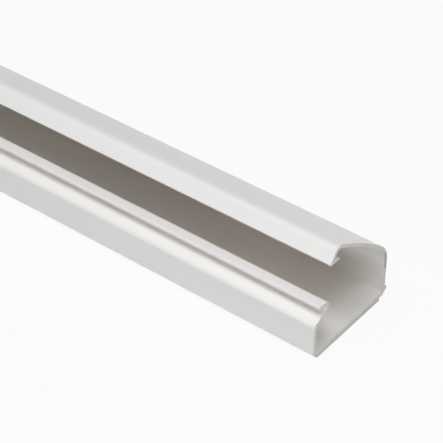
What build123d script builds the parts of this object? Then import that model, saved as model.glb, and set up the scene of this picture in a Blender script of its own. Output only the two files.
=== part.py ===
from build123d import *
import math
import os

# Surface cable raceway in white PVC: a channel that sticks to the wall by its flat back, with
# a cover that is hinged along one side and latches along the other.
# It lies on its back. X runs along the length, Y across from the latch to the hinge, Z up.
# The origin is under the middle of the length and of the full width, on the tape's lower face.
# Section points are (y, z), with y from the front wall's outer face and z from the floor's
# underside. The cover is drawn shut and then turned about the hinge line to its open rest.

# Stock
length = 400.0
wall = 0.9

# Base channel
base_width = 26.2
edge_radius = 1.2
bead_radius = 0.7
bead_height = 1.5
bead_reach = 0.7

# Latch along the front wall
shoulder_height = 8.65
shoulder_angle = 28.0
shoulder_radius = 1.1
neck_depth = 3.95
neck_radius = 0.3
hook_lift = 0.75
hook_thickness = 0.65
neck_clearance = 1.15
latch_clearance = 0.2
ease_radius = 0.25

# Hinge in the rear wall
hinge_height = 7.5
rest_opening = 28.5
notch_spare = 3.0

# Cover, drawn shut
cover_wall = 0.8
crown_gap = 0.82
rear_rise = 5.1
rear_radius = 6.5
dome_rise = 0.85
brow_setback = 0.9
brow_radius = 2.0
tip_setback = 0.3
tip_radius = 0.25

# Adhesive foam tape under the floor
tape_thickness = 0.8
tape_front_inset = 1.3
tape_rear_inset = 1.8

# Places that follow from the sizes above
full_width = base_width + bead_reach
tape_width = base_width - tape_front_inset - tape_rear_inset
swing = math.radians(rest_opening)
hinge = (base_width, hinge_height)
rear_corner = (base_width - rear_rise * math.sin(swing), hinge_height + rear_rise * math.cos(swing))

# The hook lies parallel to the shoulder, so both rise by the same slope
rake = math.radians(shoulder_angle)
slope = math.tan(rake)
hook_under = shoulder_height + hook_lift / math.cos(rake)
hook_top = hook_under + hook_thickness / math.cos(rake)
tip = (tip_setback, hook_under + tip_setback * slope)

# The hook stops short of the neck, the ledge lies one clearance above its upper corner, and the
# cover's inside passes over the ledge
hook_reach = neck_depth - neck_clearance
hook_end = (hook_reach, hook_top + hook_reach * slope)
ledge_height = hook_end[1] + latch_clearance
brow = (brow_setback, ledge_height + wall + crown_gap + cover_wall)

# The cover's front leans, and its inner face at the ledge's top sets how far out the ledge runs
lean = (brow[0] - tip[0]) / (brow[1] - tip[1])
front_inside = tip[0] + lean * (ledge_height + wall - tip[1]) + cover_wall * math.hypot(1, lean)
ledge_tip = front_inside + latch_clearance

# Outlines that trim the cover's wall reach well past both of its faces
trim_reach = 2 * cover_wall

# Section plane: its own x is Y and its own y is Z
section_plane = Plane(
    origin=(-length / 2, -full_width / 2, tape_thickness),
    x_dir=(0, 1, 0),
    z_dir=(1, 0, 0),
)

# The cover's plane has its zero on the hinge line and is turned open by the rest opening
cover_plane = Plane(
    origin=(-length / 2, hinge[0] - full_width / 2, hinge[1] + tape_thickness),
    x_dir=(0, math.cos(swing), -math.sin(swing)),
    z_dir=(1, 0, 0),
)


def from_hinge(y, z):
    """A section point of the shut cover, measured from the hinge line."""
    return (y - hinge[0], z - hinge[1])


# Base channel: one extruded wall that runs from the hinge down the rear, across the floor, up the
# front, in over the shoulder, up the neck and out again as the ledge that the hook catches
with BuildPart() as base_channel:
    with BuildSketch(section_plane) as base_section:
        with BuildLine():
            outside = FilletPolyline(
                hinge,
                (base_width, 0),
                (0, 0),
                (0, shoulder_height),
                (neck_depth, shoulder_height + neck_depth * slope),
                (neck_depth, ledge_height),
                (ledge_tip, ledge_height),
                radius=[edge_radius, edge_radius, shoulder_radius, neck_radius, neck_radius],
            )
            offset(outside, amount=wall, side=Side.RIGHT)
        make_face()
        # The ledge's free edge is eased above and below
        free_edge = base_section.vertices().sort_by_distance((ledge_tip, ledge_height + wall / 2))
        fillet(free_edge[:2], ease_radius)
        # Rounded bead along the outside of the rear wall, just above the floor
        with Locations((full_width - bead_radius, bead_height)):
            Circle(bead_radius)
    extrude(amount=length)
base_channel.part.label = "base_channel"

# Outline of the whole lid, shut: hinge strip, domed top, leaning front and the hook turned back in
with BuildSketch() as lid_outline:
    with BuildLine() as skin:
        rear = Line((0, 0), from_hinge(*rear_corner))
        dome = SagittaArc(from_hinge(*rear_corner), from_hinge(*brow), -dome_rise)
        Line(from_hinge(*brow), from_hinge(*tip))
        fillet(skin.vertices().sort_by_distance(from_hinge(*brow))[0], brow_radius)
        fillet(skin.vertices().sort_by_distance(from_hinge(*rear_corner))[0], rear_radius)
        offset(amount=cover_wall, side=Side.LEFT)
    make_face()
    # The front stops on the line of the hook's under side
    with BuildLine():
        Polyline(
            from_hinge(*tip),
            from_hinge(tip[0] + trim_reach, tip[1] + trim_reach * slope),
            from_hinge(tip[0] + trim_reach, tip[1] - cover_wall),
            from_hinge(tip[0], tip[1] - cover_wall),
            close=True,
        )
    make_face(mode=Mode.SUBTRACT)
    # Hook: a flat lip turned back in from the front's lower edge, parallel to the shoulder
    with BuildLine():
        Polyline(
            from_hinge(*tip),
            from_hinge(
                hook_end[0] + hook_thickness * math.sin(rake),
                hook_end[1] - hook_thickness * math.cos(rake),
            ),
            from_hinge(*hook_end),
            from_hinge(tip[0] + cover_wall / 2, hook_top + (tip[0] + cover_wall / 2) * slope),
            close=True,
        )
    make_face()
    fillet(lid_outline.vertices().sort_by_distance(from_hinge(*tip))[0], tip_radius)
    fillet(lid_outline.vertices().sort_by_distance(from_hinge(*hook_end))[:2], ease_radius)
    # Notch on the inside of the hinge line, with room for the wall to fold as the cover shuts
    with BuildLine():
        Polyline(
            (0, 0),
            (-trim_reach, trim_reach * math.tan(math.radians(notch_spare))),
            (-trim_reach, -trim_reach),
            close=True,
        )
    make_face(mode=Mode.SUBTRACT)

# The softer PVC of the hinge strip ends square across the wall, half way round the rear corner
seam = Plane(origin=dome.position_at(0), z_dir=rear.tangent_at(1) + dome.tangent_at(0))

# Hinge strip: soft PVC extruded in one with the two stiff parts, from the hinge line to the seam
with BuildPart() as hinge_strip:
    with BuildSketch(cover_plane):
        add(lid_outline.sketch)
        split(bisect_by=seam, keep=Keep.BOTTOM)
    extrude(amount=length)
hinge_strip.part.label = "hinge_strip"

# Cover: the stiff top and front, from the seam to the hook
with BuildPart() as cover:
    with BuildSketch(cover_plane):
        add(lid_outline.sketch)
        split(bisect_by=seam, keep=Keep.TOP)
    extrude(amount=length)
cover.part.label = "cover"

# Adhesive tape: a strip of double-sided foam along the flat underside
with BuildPart() as adhesive_tape:
    with BuildSketch(section_plane):
        with Locations((tape_front_inset, 0)):
            Rectangle(tape_width, tape_thickness, align=(Align.MIN, Align.MAX))
    extrude(amount=length)
adhesive_tape.part.label = "adhesive_tape"

os.makedirs("parts", exist_ok=True)
for piece in (base_channel, hinge_strip, cover, adhesive_tape):
    export_step(piece.part, f"parts/{piece.part.label}.step")
    print(f"{piece.part.label}: {piece.part.volume / 1000:.2f} cm3")
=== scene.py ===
import math

import bmesh
import bpy
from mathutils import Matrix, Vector, noise


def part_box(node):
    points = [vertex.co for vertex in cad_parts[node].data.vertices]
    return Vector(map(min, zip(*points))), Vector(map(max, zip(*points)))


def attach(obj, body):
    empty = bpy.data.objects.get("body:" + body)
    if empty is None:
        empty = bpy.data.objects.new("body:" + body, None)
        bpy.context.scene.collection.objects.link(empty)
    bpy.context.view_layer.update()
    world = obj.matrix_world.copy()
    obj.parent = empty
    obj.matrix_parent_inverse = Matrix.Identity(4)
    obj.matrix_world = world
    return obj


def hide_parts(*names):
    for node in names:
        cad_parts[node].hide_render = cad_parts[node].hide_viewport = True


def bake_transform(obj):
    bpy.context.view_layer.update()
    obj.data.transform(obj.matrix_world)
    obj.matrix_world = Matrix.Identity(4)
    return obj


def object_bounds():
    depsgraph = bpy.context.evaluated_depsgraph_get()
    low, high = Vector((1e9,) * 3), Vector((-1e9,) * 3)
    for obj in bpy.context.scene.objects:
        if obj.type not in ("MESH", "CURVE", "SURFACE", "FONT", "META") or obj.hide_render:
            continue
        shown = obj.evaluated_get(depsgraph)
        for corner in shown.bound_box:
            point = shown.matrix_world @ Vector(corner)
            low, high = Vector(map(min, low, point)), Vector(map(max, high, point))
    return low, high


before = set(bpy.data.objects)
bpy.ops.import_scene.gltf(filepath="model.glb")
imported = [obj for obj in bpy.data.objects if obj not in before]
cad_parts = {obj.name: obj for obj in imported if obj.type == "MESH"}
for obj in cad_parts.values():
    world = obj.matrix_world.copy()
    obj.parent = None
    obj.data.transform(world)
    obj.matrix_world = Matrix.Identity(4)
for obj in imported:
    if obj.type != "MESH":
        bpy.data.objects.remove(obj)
cad_low, cad_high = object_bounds()

# Base channel: the floor, the two walls and the latch ledge of the raceway.
# It is rigid white PVC, extruded through a die and sawn to length, so its long faces have a satin
# skin with faint die lines along X and its two ends have a duller, finely scored cut.


def srgb(code):
    """A linear colour with alpha from an sRGB hex value such as "F2EFE9"."""
    channels = [int(code[i:i + 2], 16) / 255 for i in (0, 2, 4)]
    linear = [c / 12.92 if c <= 0.04045 else ((c + 0.055) / 1.055) ** 2.4 for c in channels]
    return (*linear, 1.0)


def add_node(owner, kind, links=None, **settings):
    """Adds a node. Settings name its sockets or its properties, and links feed its sockets."""
    node = owner.node_tree.nodes.new(kind)
    for name, value in settings.items():
        if hasattr(node, name):
            setattr(node, name, value)
    for name, value in settings.items():
        if not hasattr(node, name):
            node.inputs[name.replace("_", " ")].default_value = value
    for socket, output in (links or {}).items():
        owner.node_tree.links.new(output, node.inputs[socket])
    return node


def new_material(name):
    """An empty node material and its output node."""
    material = bpy.data.materials.new(name)
    material.use_nodes = True
    material.node_tree.nodes.clear()
    return material, material.node_tree.nodes.new("ShaderNodeOutputMaterial")


def extruded_pvc(name, skin_hex, streak_hex, cut_hex, roughness, die_line_mm, saw_line_mm):
    """Extruded PVC: a satin skin with die lines along X, and a matt sawn face at each end."""
    cut_depth = 0.00005
    cut_roughness = 0.7
    satin_spread = 0.08
    line_stretch = 400
    lines_per_streak = 8
    streak_stretch = 30
    score_slant = math.radians(25)
    score_stretch = 12
    score_height = 2.5
    material, output = new_material(name)
    place = add_node(material, "ShaderNodeTexCoord").outputs["Object"]

    # The saw took off the ends, so the cut shows where X is within a hair of either end
    along = add_node(material, "ShaderNodeSeparateXYZ", {"Vector": place})
    from_middle = add_node(
        material, "ShaderNodeMath", {0: along.outputs["X"]}, operation="ABSOLUTE")
    is_cut = add_node(
        material, "ShaderNodeMath", {0: from_middle.outputs["Value"]}, operation="GREATER_THAN")
    is_cut.inputs[1].default_value = cad_high.x - cut_depth

    # Die lines run almost unbroken along the length, so their pattern is drawn out far along X.
    # Real ones are a few hundredths of a millimetre apart and are drawn coarser, so that they show.
    lines_per_m = 1000 / die_line_mm
    drawn = add_node(
        material, "ShaderNodeMapping", {"Vector": place},
        Scale=(lines_per_m / line_stretch, lines_per_m, lines_per_m))
    die_lines = add_node(
        material, "ShaderNodeTexNoise", {"Vector": drawn.outputs["Vector"]},
        Scale=1.0, Detail=3.0, Roughness=0.6)

    # The melt is never mixed quite evenly, which leaves broad and very faint streaks of tone
    streaks_per_m = lines_per_m / lines_per_streak
    melt = add_node(
        material, "ShaderNodeMapping", {"Vector": place},
        Scale=(streaks_per_m / streak_stretch, streaks_per_m, streaks_per_m))
    streaks = add_node(
        material, "ShaderNodeTexNoise", {"Vector": melt.outputs["Vector"]},
        Scale=1.0, Detail=2.0)
    skin = add_node(
        material, "ShaderNodeMix", {"Factor": streaks.outputs["Fac"]}, data_type="RGBA")
    skin.inputs["A"].default_value = srgb(skin_hex)
    skin.inputs["B"].default_value = srgb(streak_hex)

    # The saw's teeth leave close parallel scores across the cut, deeper than the die lines
    scores_per_m = 1000 / saw_line_mm
    turned = add_node(
        material, "ShaderNodeMapping", {"Vector": place},
        Rotation=(score_slant, 0, 0), Scale=(1, scores_per_m, scores_per_m / score_stretch))
    scores = add_node(
        material, "ShaderNodeTexNoise", {"Vector": turned.outputs["Vector"]},
        Scale=1.0, Detail=3.0)
    deep_scores = add_node(
        material, "ShaderNodeMath", {0: scores.outputs["Fac"]}, operation="MULTIPLY")
    deep_scores.inputs[1].default_value = score_height

    relief = add_node(
        material, "ShaderNodeMix",
        {"Factor": is_cut.outputs["Value"], 2: die_lines.outputs["Fac"],
         3: deep_scores.outputs["Value"]},
        data_type="FLOAT")
    bump = add_node(
        material, "ShaderNodeBump", {"Height": relief.outputs["Result"]},
        Strength=0.6, Distance=0.00008)
    colour = add_node(
        material, "ShaderNodeMix",
        {"Factor": is_cut.outputs["Value"], "A": skin.outputs["Result"]}, data_type="RGBA")
    colour.inputs["B"].default_value = srgb(cut_hex)
    satin = add_node(
        material, "ShaderNodeMapRange", {"Value": die_lines.outputs["Fac"]},
        To_Min=roughness - satin_spread, To_Max=roughness + satin_spread)
    dullness = add_node(
        material, "ShaderNodeMix",
        {"Factor": is_cut.outputs["Value"], 2: satin.outputs["Result"]}, data_type="FLOAT")
    dullness.inputs[3].default_value = cut_roughness
    surface = add_node(
        material, "ShaderNodeBsdfPrincipled",
        {"Base Color": colour.outputs["Result"], "Roughness": dullness.outputs["Result"],
         "Normal": bump.outputs["Normal"]},
        IOR=1.53)
    material.node_tree.links.new(surface.outputs["BSDF"], output.inputs["Surface"])
    return material


rigid_pvc = extruded_pvc(
    "extruded rigid PVC", skin_hex="F6F0E9", streak_hex="EFE9E2", cut_hex="EBE5DE",
    roughness=0.5, die_line_mm=0.5, saw_line_mm=0.25)
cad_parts["base_channel"].data.materials[0] = rigid_pvc

# Cover: the stiff domed top, leaning front and hook, from the same rigid PVC as the channel.
# It comes out of the same die at the same time and is cut by the same saw stroke.
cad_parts["cover"].data.materials[0] = rigid_pvc

# Hinge strip: the soft band that ends the rear wall and turns into the rear corner.
# It is flexible PVC, greyer and glossier than the stiff walls and run in one extrusion with them,
# so it fills the hinge line from wall to wall.
soft_pvc = extruded_pvc(
    "co-extruded flexible PVC", skin_hex="F1EBE4", streak_hex="EAE4DD", cut_hex="BBB9B5",
    roughness=0.32, die_line_mm=0.6, saw_line_mm=0.3)

# The section is the solid's own: a straight run up the rear wall, then a turn as far as the seam
hinge_y = 0.01275
hinge_z = 0.0083
foot_wall = 0.0009
strip_wall = 0.0008
taper_height = 0.001
straight_run = 0.0022073
corner_radius = 0.0065
seam_turn = math.radians(24.04)


def finish_mesh(name, bm, *materials):
    """An object of a finished mesh: faces outwards, smooth, and sharp along its corners."""
    corner_angle = math.radians(30)
    bmesh.ops.recalc_face_normals(bm, faces=bm.faces[:])
    for face in bm.faces:
        face.smooth = True
    for edge in bm.edges:
        edge.smooth = edge.calc_face_angle(0) < corner_angle
    mesh = bpy.data.meshes.new(name)
    bm.to_mesh(mesh)
    bm.free()
    for material in materials:
        mesh.materials.append(material)
    piece = bpy.data.objects.new(name, mesh)
    bpy.context.scene.collection.objects.link(piece)
    return piece


def new_verts(made):
    """The vertices that a bmesh operator made."""
    return [part for part in made["geom"] if isinstance(part, bmesh.types.BMVert)]


# The foot takes the wall's full thickness and thins to the strip's over the first millimetre
rise_steps = 20
turn_steps = 10
band = bmesh.new()
foot = [band.verts.new((cad_low.x, hinge_y - inset, hinge_z)) for inset in (0, foot_wall)]
rung = [band.edges.new(foot)]
for step in range(1, rise_steps + 1):
    made = bmesh.ops.extrude_edge_only(band, edges=rung)
    rung = [part for part in made["geom"] if isinstance(part, bmesh.types.BMEdge)
            and all(vert in new_verts(made) for vert in part.verts)]
    height = straight_run * step / rise_steps
    thinned = min(height / taper_height, 1)
    for vert in new_verts(made):
        vert.co.z = hinge_z + height
        if vert.co.y < hinge_y - foot_wall / 2:
            vert.co.y = hinge_y - foot_wall + (foot_wall - strip_wall) * thinned

# The band turns over the rear corner as far as the seam with the stiff cover, and then runs along X
bmesh.ops.spin(
    band, geom=rung + list(rung[0].verts), angle=seam_turn, steps=turn_steps, axis=(1, 0, 0),
    cent=(cad_low.x, hinge_y - corner_radius, hinge_z + straight_run))
made = bmesh.ops.extrude_face_region(band, geom=band.faces[:])
bmesh.ops.translate(band, verts=new_verts(made), vec=(cad_high.x - cad_low.x, 0, 0))
hinge_band = finish_mesh("hinge_band", band, soft_pvc)
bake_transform(hinge_band)
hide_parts("hinge_strip")

# Adhesive tape: a strip of closed-cell polyethylene foam with glue on both faces.
# Its knife-cut sides are drawn in a little and waver along the length, and show the foam's cells.
# A smooth paper liner covers the lower face until the raceway is stuck to the wall.

# Knife-cut foam is dull, and its cut cells show as fine pits
cell_mm = 0.2
foam, foam_output = new_material("closed-cell foam tape")
foam_place = add_node(foam, "ShaderNodeTexCoord").outputs["Object"]
cells = add_node(
    foam, "ShaderNodeTexVoronoi", {"Vector": foam_place}, Scale=1000 / cell_mm)
cell_bump = add_node(
    foam, "ShaderNodeBump", {"Height": cells.outputs["Distance"]}, Strength=0.5, Distance=0.00005)
foam_surface = add_node(
    foam, "ShaderNodeBsdfPrincipled", {"Normal": cell_bump.outputs["Normal"]},
    Base_Color=srgb("DFDCD5"), Roughness=0.85, IOR=1.5)
foam.node_tree.links.new(foam_surface.outputs["BSDF"], foam_output.inputs["Surface"])

# Glazed release paper is smooth with a low gloss, and its fibres show very faintly
fibre_mm = 0.8
liner, liner_output = new_material("glazed paper liner")
liner_place = add_node(liner, "ShaderNodeTexCoord").outputs["Object"]
fibres = add_node(
    liner, "ShaderNodeTexNoise", {"Vector": liner_place}, Scale=1000 / fibre_mm, Detail=4.0)
fibre_bump = add_node(
    liner, "ShaderNodeBump", {"Height": fibres.outputs["Fac"]}, Strength=0.2, Distance=0.00002)
liner_surface = add_node(
    liner, "ShaderNodeBsdfPrincipled", {"Normal": fibre_bump.outputs["Normal"]},
    Base_Color=srgb("EFEDE6"), Roughness=0.35, IOR=1.5)
liner.node_tree.links.new(liner_surface.outputs["BSDF"], liner_output.inputs["Surface"])

tape_low, tape_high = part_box("adhesive_tape")
tape_middle = (tape_low.y + tape_high.y) / 2
waist = 0.00012
waver = 0.00008
waver_length = 0.009
side_gap = 7.0
side_rows = 4
cuts_along = 199
flat = 1e-6

# One outline point for each row of the two sides, then an extrusion along X, cut into short lengths
rows = [tape_low.z + (tape_high.z - tape_low.z) * row / side_rows for row in range(side_rows + 1)]
outline = [(tape_low.y, z) for z in rows] + [(tape_high.y, z) for z in reversed(rows)]
tape = bmesh.new()
tape.faces.new([tape.verts.new((tape_low.x, y, z)) for y, z in outline])
made = bmesh.ops.extrude_face_region(tape, geom=tape.faces[:])
bmesh.ops.translate(tape, verts=new_verts(made), vec=(tape_high.x - tape_low.x, 0, 0))
along_x = [edge for edge in tape.edges if edge.verts[0].co.x * edge.verts[1].co.x < 0]
bmesh.ops.subdivide_edges(tape, edges=along_x, cuts=cuts_along, use_grid_fill=True)
for vert in tape.verts:
    side = 1 if vert.co.y > tape_middle else -1
    up = (vert.co.z - tape_low.z) / (tape_high.z - tape_low.z)
    wander = 0.5 + 0.5 * noise.noise(Vector((vert.co.x / waver_length, side * side_gap, up)))
    vert.co.y -= side * (waist * 4 * up * (1 - up) + waver * wander)
for face in tape.faces:
    if face.calc_center_median().z < tape_low.z + flat:
        face.material_index = 1
foam_tape = finish_mesh("foam_tape", tape, foam, liner)
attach(foam_tape, "base")
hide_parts("adhesive_tape")

# Floor: a plain white sweep that the raceway lies on.
# The camera sees it close to white, and the raceway's soft shadow still falls on it.
floor_half = 3.0
bpy.ops.mesh.primitive_plane_add(size=2 * floor_half, location=(0, 0, 0))
floor = bpy.context.object
floor.name = "floor"

# Matt white paper: most of what the camera sees of it is plain white, and the rest is its own shade
white_share = 0.92
sweep, sweep_output = new_material("white paper sweep")
paper = add_node(sweep, "ShaderNodeBsdfDiffuse", Color=srgb("DCDCDC"))
glow = add_node(sweep, "ShaderNodeEmission", Color=(1, 1, 1, 1), Strength=1.0)


def background_rays(owner):
    """1 for the camera, glossy and transmission rays, which see the white background."""
    rays = add_node(owner, "ShaderNodeLightPath")
    seen = rays.outputs["Is Camera Ray"]
    for kind in ("Is Glossy Ray", "Is Transmission Ray"):
        seen = add_node(
            owner, "ShaderNodeMath", {0: seen, 1: rays.outputs[kind]},
            operation="MAXIMUM").outputs["Value"]
    return seen


glow_share = add_node(
    sweep, "ShaderNodeMath", {0: background_rays(sweep)}, operation="MULTIPLY")
glow_share.inputs[1].default_value = white_share
seen = add_node(
    sweep, "ShaderNodeMixShader",
    {"Fac": glow_share.outputs["Value"], 1: paper.outputs["BSDF"], 2: glow.outputs["Emission"]})
sweep.node_tree.links.new(seen.outputs["Shader"], sweep_output.inputs["Surface"])
floor.data.materials.append(sweep)

# Studio light: a wide soft key box almost overhead, and a low strip in front that lifts the front
# wall and the cover's lip. A weak box beside the near end reaches into the channel, and a strip
# behind lights the back. The room is dim and warm, and the camera and reflections see it white.
mid_height = 0.012
near_end = Vector((cad_high.x, 0, mid_height))
near_middle = Vector((0.05, 0, mid_height))
lamp_tint = "F1F8FF"


def soft_box(name, aim, azimuth, elevation, distance, width, height, watts):
    """A flat area light that faces its aim from an azimuth and elevation in degrees."""
    lamp = bpy.data.lights.new(name, "AREA")
    lamp.shape = "RECTANGLE"
    lamp.size = width
    lamp.size_y = height
    lamp.energy = watts
    lamp.color = srgb(lamp_tint)[:3]
    holder = bpy.data.objects.new(name, lamp)
    turn, rise = math.radians(azimuth), math.radians(elevation)
    away = Vector((math.sin(turn) * math.cos(rise), -math.cos(turn) * math.cos(rise), math.sin(rise)))
    holder.location = aim + distance * away
    holder.rotation_euler = away.to_track_quat("Z", "Y").to_euler()
    holder.visible_camera = False
    bpy.context.scene.collection.objects.link(holder)


soft_box("key box", near_end, azimuth=8, elevation=74, distance=0.6, width=0.6, height=0.3,
         watts=3.05)
soft_box("front strip", near_end, azimuth=4, elevation=12, distance=0.6, width=0.6, height=0.1,
         watts=1.0)
soft_box("side box", near_end, azimuth=75, elevation=12, distance=0.2, width=0.1, height=0.1,
         watts=0.055)
soft_box("rear strip", near_middle, azimuth=168, elevation=8, distance=0.75, width=0.6, height=0.1,
         watts=1.3)

room_level = 0.05
room = bpy.data.worlds.new("dim warm room")
bpy.context.scene.world = room
room.use_nodes = True
room.node_tree.nodes.clear()
room_output = room.node_tree.nodes.new("ShaderNodeOutputWorld")
dim = add_node(room, "ShaderNodeBackground", Color=srgb("FFF4EA"), Strength=room_level)
white = add_node(room, "ShaderNodeBackground", Color=(1, 1, 1, 1), Strength=1.0)
either = add_node(
    room, "ShaderNodeMixShader",
    {"Fac": background_rays(room), 1: dim.outputs["Background"], 2: white.outputs["Background"]})
room.node_tree.links.new(either.outputs["Shader"], room_output.inputs["Surface"])

# Camera: at the photograph's angle, above and in front of the near end.
# It is set by its place and two turns, and has the long lens of a product photograph.
image_width = 443
focal_px = 1650
camera_mm = (340.3, -220.9, 236.1)
look_left = 38.42
look_down = 38.55
camera_data = bpy.data.cameras.new("camera")
camera_data.sensor_width = 36
camera_data.lens = camera_data.sensor_width * focal_px / image_width
camera_data.clip_start = 0.01
camera = bpy.data.objects.new("camera", camera_data)
camera.location = [c / 1000 for c in camera_mm]
camera.rotation_euler = (math.radians(90 - look_down), 0, math.radians(look_left))
bpy.context.scene.collection.objects.link(camera)
bpy.context.scene.camera = camera
bpy.context.scene.view_settings.view_transform = "Standard"
